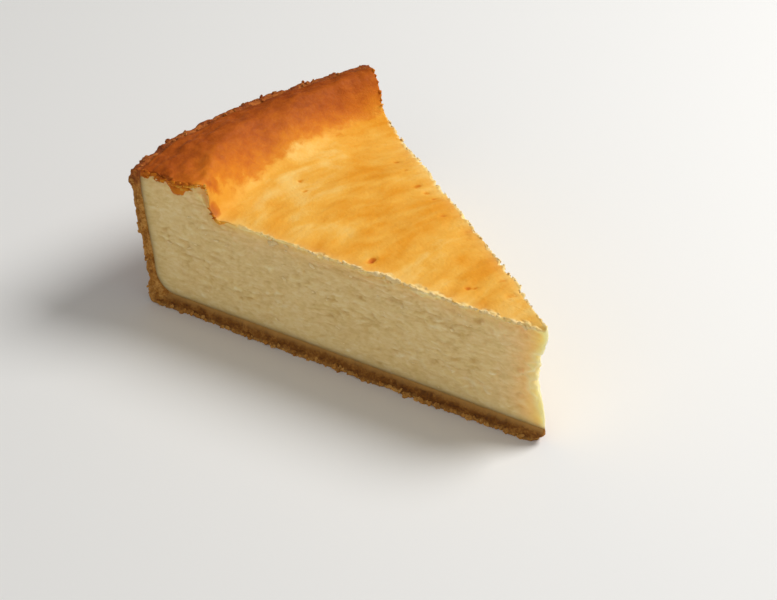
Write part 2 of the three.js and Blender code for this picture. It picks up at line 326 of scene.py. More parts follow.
# %% [markdown]
# Set cheese tears a little under the knife. The largest marks are pits and lumps at places of their
# own, longer along the cut than up it, and more tilted near the tip. Each is one rounded hump.

# %% Pits and lumps of the cuts
CURD_COUNT = 150
CURD_RADIUS = (4, 122)
CURD_HEIGHT = (6.5, 34)


def curds(radius, height, seed):
    """Relief of the pits and lumps of one cut."""
    rng = np.random.default_rng(seed)
    relief = np.zeros(np.shape(radius))
    for _ in range(CURD_COUNT):
        at_radius, at_height = rng.uniform(*CURD_RADIUS), rng.uniform(*CURD_HEIGHT)
        wide = rng.uniform(0.7, 2.6)
        tall = wide * rng.uniform(0.35, 0.9)
        out = rng.choice([-1, 1]) * rng.uniform(0.12, 0.4)
        lean = rng.uniform(-0.35, 0.15) * (1 + 2 * (at_radius < 45))
        along, up = radius - at_radius, height - at_height
        relief += out * hump(np.hypot(along / wide, (up - lean * along) / tall), 1)
    return relief


print(CURD_COUNT, "pits and lumps on each cut")

# %% [markdown]
# Between them the cut is closely packed: smears that run along it, flat curds side by side, and fine
# creases. Smears and creases are noise that is stretched along the cut, curds are cobbles, and a
# slow drift makes all of them wavy. Near the pastry the cut is calmer. Towards the tip, where the
# wedge is weak, the smears turn downwards and get coarser. Last come the tears of the skin.

# %% Relief of the cuts
CUT_FADE = 10  # how quickly a cut's relief dies away from it, into the slice


def cut_relief(radius, height, seed):
    """How far each place stands out of the cut, and its tone from 0 to 1, with painted shade in hollows."""
    drift = 1.6 * noise(radius / 26, height / 12, seed)
    smears = 0.26 * noise(radius / 11, (height + drift) / 2.6, seed + 1)
    lumps = 0.4 * noise(radius / 7, height / 6, seed + 2) * (1 - smoothstep(radius, 10, 50))
    sway = 0.45 * noise(radius / 34, height / 40, seed + 3)
    along = radius + 1.2 * noise(radius / 3.4, height / 2.2, seed + 4)
    up = height + 0.8 * drift + 0.6 * noise(radius / 4.2, height / 3, seed + 5)
    big, big_tone = cobbles(along / 2.4, up / 0.95, seed + 6)
    small, small_tone = cobbles(along / 1.3, up / 0.7, seed + 12)
    calm_foot = lerp(0.4, 1, smoothstep(height, 7, 16))
    coarse = (0.85 + 0.5 * noise(radius / 13, height / 7, seed + 19)) * calm_foot
    packed = coarse * (0.36 * (big - 0.65) + 0.18 * (small - 0.65))
    crease = (1 - np.abs(noise(along / 10, up / 2.1, seed + 20))) ** 8 * smoothstep(coarse, 0.6, 1)
    turned = 0.3 * noise((radius + 0.8 * height) / 6, (0.8 * radius - height) / 2.1, seed + 18)
    dragged = turned * (1 - smoothstep(radius, 30, 60))
    bits = curds(radius, height, seed)
    # The tone is the curds' own tone, with painted shade in hollows and creases and painted light on raised
    # curds.
    light = 0.5 + 1.0 * packed + 0.9 * bits + 0.12 * big_tone + 0.08 * small_tone - 0.25 * crease
    return smears + lumps + sway + packed + dragged + bits - 0.3 * crease, np.clip(light, 0, 1)


def ragged_drop(drop, radius):
    """How far down a tear reaches, with an uneven lower edge."""
    return drop * (1 + 0.22 * noise(radius / 1.1, 0 * radius, 11))


def torn_skin(radius, below_top):
    """Skin dragged over the near cut, or torn out of it."""
    relief = np.zeros(np.shape(radius))
    for tear_radius, half_width, out, drop in TORN_SKIN:
        ragged = ragged_drop(drop, radius)
        down = 1 - smoothstep(below_top, ragged * 0.72, ragged * 0.92)
        relief += out * hump(radius - tear_radius, half_width) * down
    return relief


sample_relief, _ = cut_relief(np.linspace(10, 120, 200), np.full(200, 20.0), 20)
print("Relief half way up the near cut:", np.round([sample_relief.min(), sample_relief.max()], 2), "mm")

# %% [markdown]
# The tip is the thinnest place. At the pastry it came away sharp and at the skin a little rounded,
# and between them the knife dragged it back by a few millimetres and left a crumbly edge.
# The outside of the wall leans out from its foot to the ring that it was baked in, with a waist
# above the foot and a lip under the rim. The inside is rounded into the floor.

# %% Tip and wall
TIP_RADIUS = 0.7
TIP_RECESS = 3.3
TIP_RECESS_FROM = (7.0, 17.0)
TIP_RECESS_TO = (24.0, 34.0)
TIP_CORNER = 1.5
TIP_CORNER_FROM = (33.0, 37.0)
TIP_BLUNTNESS = 0.35
CRUST_TIP_ROUNDING = 2.3
FOOT_ROUNDING = 2.6
LIP_BULGE = 1.4
LIP_HEIGHT = 38.2
WAIST_DEPTH = 0.8
WAIST_HEIGHT = 8.4
INNER_CORNER = 6.0


def tip_radius(height, share):
    """The filling starts this far from the cake's axis."""
    below, above = smoothstep(height, *TIP_RECESS_FROM), 1 - smoothstep(height, *TIP_RECESS_TO)
    worn = TIP_RECESS * below * above * (1 + 0.12 * noise(height / 2.6, 0 * height, 9))
    crumbly = 0.75 * noise(height / 1.4, 2 * share, 10) + 0.45 * noise(height / 0.7, 3 * share, 19)
    top_corner = TIP_CORNER * smoothstep(height, *TIP_CORNER_FROM)
    start = TIP_RADIUS + worn + crumbly * below * above + top_corner
    return start * (1 + TIP_BLUNTNESS * (2 * share - 1) ** 2)


def crust_tip_radius(height, share):
    rounding = CRUST_TIP_ROUNDING * (1 - smoothstep(height, 0, 3))
    return (TIP_RADIUS + rounding) * (1 + TIP_BLUNTNESS * (2 * share - 1) ** 2)


def wall_lean(height):
    return lerp(FOOT_RADIUS, WALL_TOP_RADIUS, smoothstep(height, 6, 40))


def wall_outside(height):
    lip, waist = LIP_BULGE * hump(height - LIP_HEIGHT, 5), WAIST_DEPTH * hump(height - WAIST_HEIGHT, 2.8)
    under = np.maximum(0, FOOT_ROUNDING - height)
    foot = FOOT_ROUNDING - np.sqrt(FOOT_ROUNDING**2 - under**2)
    return wall_lean(height) + lip - waist - foot


def wall_inside(height):
    under = np.maximum(0, INNER_CORNER - (height - FLOOR_THICKNESS))
    corner = INNER_CORNER - np.sqrt(np.maximum(0, INNER_CORNER**2 - under**2))
    return wall_lean(height) - WALL_THICKNESS - corner


print("Wall at the foot and at the lip:", wall_outside(np.array([3.0, LIP_HEIGHT])))

# %% [markdown]
# The oven browned the crest most, a band inside it less, and a narrow fringe a little. Where the
# knife tore the skin, its colour also reaches down the near cut, by the same list of tears.

# %% Browning of the skin
SKIN_THICKNESS = 0.15


def browned_at(radius, angle):
    """How brown the skin is, from 0 in the golden middle to 1 at the rim."""
    arc = radius * angle
    wander = 1.0 * noise(arc / 6, radius / 5, 12) + 0.8 * noise(arc / 2.5, radius / 2, 13)
    inward = radius - np.interp(np.degrees(angle), *BROWN_EDGE) + wander
    _, spots = spots_at(radius, angle)
    fringe, band, crest = smoothstep(inward, -7, 0), smoothstep(inward, -4, 5), smoothstep(inward, 2, 14)
    far_side = 0.1 * smoothstep(angle, -0.1, 0.15) * band
    return 0.1 * fringe + 0.48 * band + 0.27 * crest + far_side + spots


def skin_reach(radius):
    """How far the skin's colour reaches down the near cut."""
    ragged = 1 + 0.35 * noise(radius / 1.6, 0 * radius, 14)
    reach = SKIN_THICKNESS + 1.8 * ragged * smoothstep(radius, 116, 121)
    for tear_radius, half_width, out, drop in TORN_SKIN:
        if out > 0:
            flap = ragged_drop(drop, radius) * hump(radius - tear_radius, half_width * 1.25) ** 0.5
            reach = np.maximum(reach, flap * smoothstep(radius, 92, 99))
    return reach


print("Browned at the crest:", round(float(browned_at(126.0, 0.0)), 2))

# %% [markdown]
# The filling's whole surface comes from one function: it takes a share along the slice, a share
# across it and a share up it, and gives a point. Faces of the wedge that share an edge ask for the
# same points there, so the mesh closes without any stitching. The function also hands out marks,
# which are numbers kept on the vertices. The material reads them to know where the skin is, how
# browned it is, and how near the pastry.

# %% Points and marks of the filling
FILLING_BOTTOM = FLOOR_THICKNESS - BOND


def filling_section(along, across, up):
    """Radius and height without relief, the skin's height above and the wall's radius beside them."""
    reach = along + 0.05 * np.sin(np.pi * along)
    rise = lerp(up, smoothstep(up, 0, 1), 0.55)
    rim = rim_height(across)
    level = lerp(FILLING_BOTTOM, lerp(MIDDLE_HEIGHT, rim, reach**6), rise)
    outer, widest = wall_inside(level) + BOND, wall_inside(rim) + BOND
    straight = lerp(tip_radius(level, across), widest, reach)
    radius = straight - (widest - outer) * reach**8
    top = top_height(radius, (across - 0.5) * SLICE_ANGLE)
    return radius, lerp(FILLING_BOTTOM, top, rise), top, outer


def filling_points(shares):
    """Points of the filling's surface, their marks, and their places in the whole cake."""
    along, up = shares[:, 0], shares[:, 2]
    on_top, on_near = up == 1, shares[:, 1] == 0
    across = lerp(shares[:, 1], smoothstep(shares[:, 1], 0, 1), 0.5)
    angle = (across - 0.5) * SLICE_ANGLE
    radius, height, top, outer = filling_section(along, across, up)
    below_top, above_floor = top - height, height - FILLING_BOTTOM

    near_relief, near_curd_and_shade = cut_relief(radius, height, 20)
    far_relief, far_curd_and_shade = cut_relief(radius, height, 40)
    near_lip, near_crumbs = lip_at(radius, below_top, False)
    far_lip, far_crumbs = lip_at(radius, below_top, True)
    ease = smoothstep(above_floor, 0, 3) * (1 - smoothstep(radius, outer - 4, outer))
    narrow = lerp(0.35, 1, smoothstep(radius, 0, 12))
    near = near_relief + torn_skin(radius, below_top) + near_lip * (0.9 * near_crumbs - 0.7)
    far = far_relief + far_lip * (0.9 * far_crumbs - 0.7)
    near, far = ease * narrow * near * (1 - across) ** CUT_FADE, ease * narrow * far * across**CUT_FADE
    points = place(radius, angle, height, near, far)

    from_edge = radius * (SLICE_ANGLE / 2 - np.abs(angle))
    beside_near, _ = lip_at(radius, from_edge, False)
    beside_far, _ = lip_at(radius, from_edge, True)
    lip_on_top = np.where(angle < 0, beside_near, beside_far)
    lip_on_cut = np.where(on_near, near_lip, far_lip)
    fading = 0.4 * np.exp(-from_edge / 1.3) * (1 - smoothstep(radius, 98, 108))
    down = np.where(on_near & ~on_top, skin_reach(radius), SKIN_THICKNESS)
    # The tip's end strip takes the pale lip colour: painted light where light catches the end.
    painted_light_end = 0.8 * (1 - smoothstep(along, 0, 0.014)) * (1 - on_top)
    marks = {
        "skin": 1 - smoothstep(below_top, down * 0.8, down + SKIN_THICKNESS),
        # Below the top the skin is painted lighter: painted light on the torn flaps that lie in the cut's
        # shade.
        "browned": browned_at(radius, angle) - 0.3 * smoothstep(below_top, 0.3, 1.5),
        "under_skin": np.exp(-below_top / 2.2),
        "near_pastry": np.exp(-np.minimum(above_floor, outer - radius) / 0.9),
        # The lip mark also carries the painted light on the tip's end.
        "lip": np.maximum(np.where(on_top, np.maximum(lip_on_top, fading), lip_on_cut), painted_light_end),
        # The curds' own tone, with painted shade in hollows and creases and painted light on raised curds.
        "curd_and_shade": np.where(on_near, near_curd_and_shade, far_curd_and_shade),
        "tip": 1 - smoothstep(radius, 1, 13),
    }
    cake_place = np.stack([radius, radius * angle, height], axis=-1)
    return points, marks, cake_place


example, _, _ = filling_points(np.array([[0.5, 0.5, 1.0]]))
print("A point of the baked top:", np.round(example, 1))

# %% [markdown]
# The mesh is made of grids, one for each visible face of the wedge. Each grid is written as shares,
# and points that two grids share are kept once. The flat underside is filled with a single face,
# because nobody sees it and a fine grid there would be wasted.

# %% Grids of shares
def grid(columns, rows, shares_at, turned=False):
    """A grid of shares and the quads between them."""
    u, v = np.meshgrid(np.linspace(0, 1, columns + 1), np.linspace(0, 1, rows + 1))
    shares = np.stack(np.broadcast_arrays(*shares_at(u, v)), axis=-1).reshape(-1, 3)
    corner = np.arange(len(shares)).reshape(rows + 1, columns + 1)
    quads = [corner[:-1, :-1], corner[:-1, 1:], corner[1:, 1:], corner[1:, :-1]]
    quads = np.stack(quads, axis=-1).reshape(-1, 4)
    return shares, quads[:, ::-1] if turned else quads


def welded(grids):
    """All grids as one: shared corners are kept once."""
    starts = np.cumsum([0] + [len(shares) for shares, _ in grids[:-1]])
    shares = np.concatenate([shares for shares, _ in grids])
    quads = np.concatenate([quads + start for (_, quads), start in zip(grids, starts)])
    _, first, where = np.unique(np.round(shares, 6), axis=0, return_index=True, return_inverse=True)
    return shares[first], where.reshape(-1)[quads]


plain_shares, plain_quads = grid(4, 2, lambda u, v: (u, v, 1))
print("A grid of 4 by 2 has", len(plain_shares), "points and", len(plain_quads), "quads")

# %% [markdown]
# Blender's own mesh takes the points and quads as lists. The marks become attributes on its
# vertices, and so does its place in the whole cake, in centimetres, for patterns that follow the
# cake. Then bmesh closes the holes that are left and turns all faces outwards.

# %% From points to a piece
MM_PER_CM = 10


def build_piece(name, points, quads, marks, cake_place, smooth=True):
    """A mesh object in metres, with its marks and its holes closed."""
    mesh = bpy.data.meshes.new(name)
    mesh.from_pydata(points.tolist(), [], quads.tolist())
    for mark, values in marks.items():
        mesh.attributes.new(mark, "FLOAT", "POINT").data.foreach_set("value", values.astype(np.float32))
    layer = mesh.attributes.new("cake_place", "FLOAT_VECTOR", "POINT")
    layer.data.foreach_set("vector", (cake_place / MM_PER_CM).astype(np.float32).ravel())
    bm = bmesh.new()
    bm.from_mesh(mesh)
    rims = [edge for edge in bm.edges if edge.is_boundary]
    flat = set(bmesh.ops.holes_fill(bm, edges=rims, sides=0)["faces"])
    bmesh.ops.recalc_face_normals(bm, faces=bm.faces)
    for face in bm.faces:
        face.smooth = smooth and face not in flat
    bm.to_mesh(mesh)
    bm.free()
    piece = bpy.data.objects.new(name, mesh)
    bpy.context.scene.collection.objects.link(piece)
    print(name, "has", len(mesh.vertices), "vertices and", len(mesh.polygons), "faces")
    return piece


print("Marks of the filling:", ", ".join(filling_points(plain_shares)[1]))

# %% [markdown]
# The pastry's section is an L: the floor runs out from the tip and the wall climbs from its end.
# One share runs along that L, from 0 to 1 over the floor and from 1 to 2 up the wall, and another
# goes through the pastry from its outside to the filling.

# %% Section of the pastry
def crust_section(run, through, across, angle):
    """Radius and height on the pastry's L-shaped section."""
    on_floor = np.clip(run, 0, 1)
    floor_height = FLOOR_THICKNESS * through
    floor_end = lerp(wall_outside(0 * through), wall_inside(FLOOR_THICKNESS + 0 * through), through)
    floor_radius = lerp(crust_tip_radius(floor_height, across), floor_end, on_floor)
    climb = np.clip(run - 1, 0, 1) ** 1.3
    rim = rim_height(across)
    outer_height, inner_height = (rim - 0.8) * climb, lerp(FLOOR_THICKNESS, rim, climb)
    wall_radius = lerp(wall_outside(outer_height), wall_inside(inner_height), through)
    at_top = smoothstep(run, 1.88, 2)
    skin_height = top_height(wall_radius, angle) - BOND
    wall_height = lerp(outer_height, inner_height, through) + 0.5 * climb**12 * np.sin(np.pi * through)
    wall_height = lerp(wall_height, skin_height, at_top * smoothstep(through, 0.2, 0.9))
    on_wall = run > 1
    return np.where(on_wall, wall_radius, floor_radius), np.where(on_wall, wall_height, floor_height)


floor_end = crust_section(np.array([1.0]), np.array([1.0]), np.array([0.5]), np.array([0.0]))
print("The floor meets the wall at radius and height:", np.round(np.concatenate(floor_end), 1))

# %% [markdown]
# Broken pastry is all crumbs, so both cuts get cobbles of two sizes. The wall was pressed against a
# ring and stays smoother, and its upper edge is ragged. Next to the filling the pastry is soaked, and
# the marks say where.

# %% Points and marks of the pastry
BASE_SPREAD = 0.6


def broken_crumbs(along, height, seed):
    """Relief of pastry broken by the knife, and the tone of each crumb."""
    base = 0.4 * noise(along / 4, height / 3.2, seed) + 0.3 * noise(along / 9, height / 5, seed + 1)
    coarse, coarse_tone = cobbles(along / 1.9, height / 1.6, seed + 2)
    small, small_tone = cobbles(along / 0.9, height / 0.8, seed + 8)
    return base + 0.75 * (coarse - 0.5) + 0.3 * (small - 0.5), 0.6 * coarse_tone + 0.4 * small_tone


def crust_points(shares):
    """Points of the pastry's surface, their marks, and their places in the whole cake."""
    run, through, across = shares[:, 0], shares[:, 1], shares[:, 2]
    angle = (across - 0.5) * SLICE_ANGLE
    radius, height = crust_section(run, through, across, angle)
    on_wall = smoothstep(run, 1, 1.02)
    arc = RIM_RADIUS * angle
    pressed, wall_tone = cobbles(arc / 2.3, height / 1.9, 64)
    baked = 0.35 * noise(arc / 5, height / 4, 60) + 0.25 * noise(arc / 2, height / 2.4, 61)
    baked = baked + 0.28 * (pressed - 0.5) + 0.12 * noise(arc / 0.8, height / 0.7, 66)
    outwards = on_wall * smoothstep(height, 0, 2) * (1 - through) * baked
    rim_lumps, rim_tone = cobbles(arc / 1.5, radius / 1.3, 67)
    ragged = 0.4 * noise(arc / 3.4, 0 * arc, 62) + 0.3 * noise(arc / 1.3, 0 * arc, 63)
    ragged = ragged + 0.45 * (rim_lumps - 0.5)
    at_top = smoothstep(run, 1.9, 2)
    upwards = at_top * ragged * (1 - smoothstep(through, 0.45, 1))
    loose = 1 - smoothstep(through, 0.72, 1)
    spread = BASE_SPREAD * np.maximum(0, 1 - height / FLOOR_THICKNESS)
    narrow = lerp(0.3, 1, smoothstep(radius, 0, 10))
    section = np.where(run > 1, height, radius)
    depth = np.where(run > 1, radius, height)
    near, near_tone = broken_crumbs(section, depth, 70)
    far, far_tone = broken_crumbs(section, depth, 90)
    near, far = loose * narrow * (near + spread), loose * narrow * (far + spread)
    near, far = near * (1 - across) ** CUT_FADE, far * across**CUT_FADE
    points = place(radius + outwards, angle, height + upwards, near, far)
    points[:, 2] = np.maximum(points[:, 2], 0)
    cut = np.where((across == 0) | (across == 1), 1.0, 0.0)
    marks = {
        "toasted": (1 - cut) * on_wall * (1 - smoothstep(through, 0.9, 1)),
        "scorched": smoothstep(height, 33, 43) * on_wall,
        # Darker floor cut: partly moisture, partly painted shade under the slice.
        "moist_and_shade": lerp(0.4 * smoothstep(through, 0.72, 1), lerp(0.95, 0.15, on_wall), cut),
        "soaked": cut * (1 - on_wall) * smoothstep(through, 0.5, 1),
        "crumb_tone": np.where(across == 0, near_tone, np.where(across == 1, far_tone, 0.4 * wall_tone)),
        "outer_edge": cut * (1 - smoothstep(through, 0, 0.3)),
    }
    marks["crumb_tone"] = lerp(marks["crumb_tone"], rim_tone, at_top * (1 - cut))
    cake_place = np.stack([radius, arc, height], axis=-1)
    return points, marks, cake_place


_, sample_tone = broken_crumbs(np.linspace(0, 40, 100), np.full(100, 2.0), 70)
print("Tones of the crumbs along 40 mm:", np.round([sample_tone.min(), sample_tone.max()], 2))

# %% [markdown]
# Each piece is a handful of grids, one for each of its faces. The steps are about half a millimetre,
# which is fine enough for the crumbs and keeps each piece under 200,000 triangles.

# %% Grids of both pieces
ALONG, ACROSS, UP = 290, 80, 96
FLOOR_STEPS, WALL_STEPS, CRUST_ACROSS, THROUGH = 360, 90, 150, 16


def filling_grids():
    return [
        grid(ALONG, ACROSS, lambda u, v: (u, v, 1), True),
        grid(ALONG, UP, lambda u, v: (u, 0, v), True),
        grid(ALONG, UP, lambda u, v: (u, 1, v)),
        grid(ACROSS, UP, lambda u, v: (0, u, v)),
        grid(ACROSS, UP, lambda u, v: (1, u, v), True),
    ]


def crust_grids():
    return [
        grid(CRUST_ACROSS, WALL_STEPS, lambda u, v: (1 + v, 0, u), True),
        grid(CRUST_ACROSS, WALL_STEPS, lambda u, v: (1 + v, 1, u)),
        grid(FLOOR_STEPS, THROUGH, lambda u, v: (u, v, 0), True),
        grid(FLOOR_STEPS, THROUGH, lambda u, v: (u, v, 1)),
        grid(WALL_STEPS, THROUGH, lambda u, v: (1 + u, v, 0), True),
        grid(WALL_STEPS, THROUGH, lambda u, v: (1 + u, v, 1)),
        grid(CRUST_ACROSS, THROUGH, lambda u, v: (0, v, u)),
        grid(CRUST_ACROSS, THROUGH, lambda u, v: (2, v, u), True),
    ]


crust_shares, crust_quads = welded(crust_grids())
filling_shares, filling_quads = welded(filling_grids())
print("Quads of the pastry and of the filling:", len(crust_quads), len(filling_quads))

# %% [markdown]
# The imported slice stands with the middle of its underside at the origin, and the functions above
# have the cake's axis there. The difference is one straight move. It is found by setting the middle
# of the pastry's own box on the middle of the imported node's box.

# %% Build the pastry and the filling over their nodes
crust_xyz, crust_marks, crust_place = crust_points(crust_shares)
cad_low, cad_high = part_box("pastry_crust")
own_middle = (crust_xyz.min(axis=0) + crust_xyz.max(axis=0)) / 2
SHIFT = np.array((cad_low + cad_high) / 2) - own_middle * MM
SHIFT[2] = 0.0
print("Moved by", np.round(SHIFT * 1000, 2), "mm")


def to_frame(points):
    return points * MM + SHIFT


pastry = build_piece("pastry_case", to_frame(crust_xyz), crust_quads, crust_marks, crust_place)
filling_xyz, filling_marks, filling_place = filling_points(filling_shares)
filling = build_piece("baked_filling", to_frame(filling_xyz), filling_quads, filling_marks, filling_place)
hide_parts("pastry_crust")
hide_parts("filling")

# %% [markdown]
# Broken food always has loose bits. Each one starts as the same small ball, which is stretched,
# tilted and made uneven. Its middle is a place on one of the surfaces above, so it lies half sunk
# where a knife would have left it. Particles would scatter them too, but real meshes stay editable.
# All bits of a kind are one mesh, and each draws its numbers from the same seeded source.

# %% Scattering bits
BITS = np.random.default_rng(11)
NEAR, FAR, OUTWARDS = 0, 1, None


def small_ball():
    """Points and triangles of a ball with a radius of 1."""
    bm = bmesh.new()
    bmesh.ops.create_icosphere(bm, subdivisions=2, radius=1.0)
    bm.verts.index_update()
    points = np.array([vert.co[:] for vert in bm.verts])
    faces = np.array([[vert.index for vert in face.verts] for face in bm.faces])
    bm.free()
    return points, faces


def scatter(rows):
    """Random places for every row: two shares, the cut, and a half size."""
    first, second, cut, size = [], [], [], []
    for count, first_range, second_range, side, sizes in rows:
        first.append(BITS.uniform(*first_range, count))
        second.append(BITS.uniform(*second_range, count))
        cut.append(BITS.uniform(0, 1, count) if side is OUTWARDS else np.full(count, float(side)))
        size.append(lerp(*sizes, BITS.uniform(0, 1, count) ** 2))
    return [np.concatenate(values) for values in (first, second, cut, size)]


def way_out(across):
    """The way out of the near cut, the far cut, or the wall between them."""
    angle = (across - 0.5) * SLICE_ANGLE
    turned = np.where(across == 0, angle - math.pi / 2, np.where(across == 1, angle + math.pi / 2, angle))
    return np.stack([np.sin(turned), np.cos(turned), 0 * turned], axis=-1)


def add_bits(name, surface, across, sizes, changes, smooth=True):
    """A mesh of uneven balls: surface is their centres, marks and places, sizes their half sizes."""
    centres, marks, cake_place = surface
    ball, ball_faces = small_ball()
    count = len(centres)
    tilt = BITS.uniform(-0.6, 0.6, count)[:, None]
    out = way_out(across)
    flat, up = np.cross(out, (0.0, 0.0, 1.0)), np.array([[0.0, 0.0, 1.0]])
    axes = np.stack([np.cos(tilt) * flat + np.sin(tilt) * up, out,
                     np.cos(tilt) * up - np.sin(tilt) * flat], axis=1)
    own = BITS.uniform(0, 900, count)[:, None]
    uneven = 1 + 0.5 * noise(2.1 * ball[:, 0] + own, 2.1 * ball[:, 1] + 1.7 * ball[:, 2], 30)
    local = ball * sizes[:, None, :] * uneven[..., None]
    points = (centres[:, None] + np.einsum("bvk,bkx->bvx", local, axes)).reshape(-1, 3)
    points[:, 2] = np.maximum(points[:, 2], 0)
    faces = (ball_faces + len(ball) * np.arange(count)[:, None, None]).reshape(-1, 3)
    marks = {mark: np.repeat(values, len(ball)) for mark, values in {**marks, **changes}.items()}
    places = (cake_place[:, None] + local).reshape(-1, 3)
    return build_piece(name, to_frame(points), faces, marks, places, smooth)


print("A bit has", len(small_ball()[1]), "triangles")

# %% [markdown]
# The base and the upper edge of the wall are broken all along, so most pastry crumbs lie there. They
# are flat-shaded, because baked pastry breaks into corners.

# %% Pastry crumbs
# How many, along the section, through it, which cut, half sizes from and to
PASTRY_BITS = (
    (260, (0.0, 1.0), (0.0, 0.2), NEAR, (0.2, 0.75)),
    (260, (0.0, 1.0), (0.0, 0.2), FAR, (0.2, 0.75)),
    (50, (1.0, 1.99), (0.0, 0.6), NEAR, (0.2, 0.6)),
    (50, (1.0, 1.99), (0.0, 0.6), FAR, (0.2, 0.6)),
    (190, (1.95, 2.0), (0.0, 0.9), OUTWARDS, (0.2, 0.7)),
    (30, (1.97, 2.0), (0.1, 0.7), OUTWARDS, (0.45, 0.8)),
    (110, (1.02, 1.95), (0.0, 0.0), OUTWARDS, (0.2, 0.5)),
)

run, through, across, size = scatter(PASTRY_BITS)
crumb_surface = crust_points(np.stack([run, through, across], axis=-1))
chunky = size[:, None] * BITS.uniform(0.55, 1.5, (len(size), 3))
pastry_crumbs = add_bits("pastry_crumbs", crumb_surface, across, chunky, {
    "crumb_tone": BITS.uniform(-0.6, 1, len(size)), "moist_and_shade": 0 * size,
    "scorched": crumb_surface[1]["scorched"] * BITS.uniform(0.1, 1, len(size)),
    "outer_edge": BITS.uniform(0, 1, len(size)) * (run < 1.9)}, smooth=False)

# %% [markdown]
# The knife pulled soft crumbs of filling up to the edges of the top and left a few on the cuts. They
# are smeared along the cut.

# %% Crumbs of the filling
# How many, along the slice, up it, which cut, half sizes from and to
FILLING_BITS = (
    (45, (0.12, 0.97), (0.06, 0.97), NEAR, (0.2, 0.5)),
    (60, (0.12, 0.97), (0.06, 0.97), FAR, (0.2, 0.5)),
    (110, (0.0, 0.52), (0.97, 1.0), NEAR, (0.2, 0.6)),
    (30, (0.3, 0.36), (0.985, 1.0), NEAR, (0.35, 0.75)),
    (7, (0.6, 0.62), (0.9, 0.94), NEAR, (0.4, 0.8)),
    (90, (0.0, 0.88), (0.97, 1.0), FAR, (0.2, 0.5)),
)

along, up, across, size = scatter(FILLING_BITS)
bit_surface = filling_points(np.stack([along, across, up], axis=-1))
smeared = size[:, None] * BITS.uniform((1.0, 0.5, 0.5), (2.4, 0.9, 1.0), (len(size), 3))
filling_crumbs = add_bits("filling_crumbs", bit_surface, across, smeared, {
    "skin": 0 * size, "curd_and_shade": BITS.uniform(0.7, 1, len(size)), "lip": BITS.uniform(0.3, 1, len(size))})

# %% [markdown]
# Scraps of the browned skin hang where it was torn, mostly under the rim on the near cut.

# %% Scraps of browned skin
# How many, along the slice, up it, which cut, half sizes from and to
SKIN_BITS = (
    (70, (0.84, 0.99), (0.9, 1.0), NEAR, (0.25, 0.8)),
    (24, (0.76, 0.84), (0.95, 1.0), NEAR, (0.25, 0.6)),
    (26, (0.9, 0.99), (0.95, 1.0), FAR, (0.25, 0.6)),
)

along, up, across, size = scatter(SKIN_BITS)
scrap_surface = filling_points(np.stack([along, across, up], axis=-1))
flaky = size[:, None] * BITS.uniform((1.0, 0.4, 0.4), (2.0, 0.9, 0.9), (len(size), 3))
skin_scraps = add_bits("skin_scraps", scrap_surface, across, flaky, {
    "skin": 1 + 0 * size, "lip": 0 * size,
    "browned": scrap_surface[1]["browned"] + BITS.uniform(-0.35, 0.15, len(size))})

# %% [markdown]
# Finishes are built from nodes. The first helpers keep that short: they add a node with its
# settings, feed its sockets, and read what the mesh's vertices carry.

# %% Helpers for nodes
def connect(tree, value, socket):
    """Feed a socket from another node's output, or set it to a plain value."""
    if isinstance(value, bpy.types.NodeSocket):
        tree.links.new(value, socket)
    else:
        socket.default_value = value


def add_node(tree, kind, inputs=None, **settings):
    """A node with its settings; an input may be a value or another node's output."""
    node = tree.nodes.new(kind)
    for name, value in settings.items():
        setattr(node, name, value)
    for name, value in (inputs or {}).items():
        connect(tree, value, node.inputs[name])
    return node


def calculate(tree, operation, first, second=0.5, clamp=False):
    """A sum of two values or outputs."""
    node = add_node(tree, "ShaderNodeMath", operation=operation, use_clamp=clamp)
    for socket, value in zip(node.inputs, (first, second)):
        connect(tree, value, socket)
    return node.outputs["Value"]


def mark(tree, name, strength=1.0):
    """A mark kept on the mesh's vertices, at its full strength or a part of it."""
    value = add_node(tree, "ShaderNodeAttribute", attribute_name=name).outputs["Fac"]
    return value if strength == 1.0 else calculate(tree, "MULTIPLY", value, strength)


def cake_place_of(tree):
    """Radius, arc and height in centimetres."""
    return add_node(tree, "ShaderNodeAttribute", attribute_name="cake_place").outputs["Vector"]


def remap(tree, value, low, high, to_low=0.0, to_high=1.0):
    """A value moved softly from one range to another."""
    node = add_node(tree, "ShaderNodeMapRange", {"Value": value, "From Min": low, "From Max": high,
                                                 "To Min": to_low, "To Max": to_high})
    node.interpolation_type = "SMOOTHSTEP"
    return node.outputs["Result"]


print("The filling carries", len(filling_marks), "marks and the pastry", len(crust_marks))

# %% [markdown]
# Colours are given in the usual 0 to 255 steps, and turned into the linear numbers that shaders work
# with. A mask mixes two of them, and a ramp gives a row of them for a value from 0 to 1.

# %% Helpers for colours
def srgb(red, green, blue):
    """A colour in 0 to 255 steps as linear numbers with an alpha of 1."""
    def linear(step):
        share = step / 255
        return share / 12.92 if share <= 0.04045 else ((share + 0.055) / 1.055) ** 2.4
    return (linear(red), linear(green), linear(blue), 1.0)


def mix_colours(tree, mask, first, second):
    """The first colour where the mask is 0, the second where it is 1."""
    node = add_node(tree, "ShaderNodeMix", data_type="RGBA", blend_type="MIX")
    sockets = {"Factor": mask, "A": first, "B": second}
    for socket in node.inputs:
        if socket.enabled and socket.name in sockets:
            connect(tree, sockets[socket.name], socket)
    return next(socket for socket in node.outputs if socket.enabled)


def ramp(tree, value, stops):
    """A colour ramp; each stop is a position and a colour in 0 to 255 steps."""
    node = add_node(tree, "ShaderNodeValToRGB", {"Fac": value})
    elements = node.color_ramp.elements
    while len(elements) < len(stops):
        elements.new(0.5)
    for element, (position, colour) in zip(elements, stops):
        element.position = position
        element.color = srgb(*colour)
    return node.outputs["Color"]


print("Golden skin in linear numbers:", [round(c, 3) for c in srgb(240, 175, 75)])

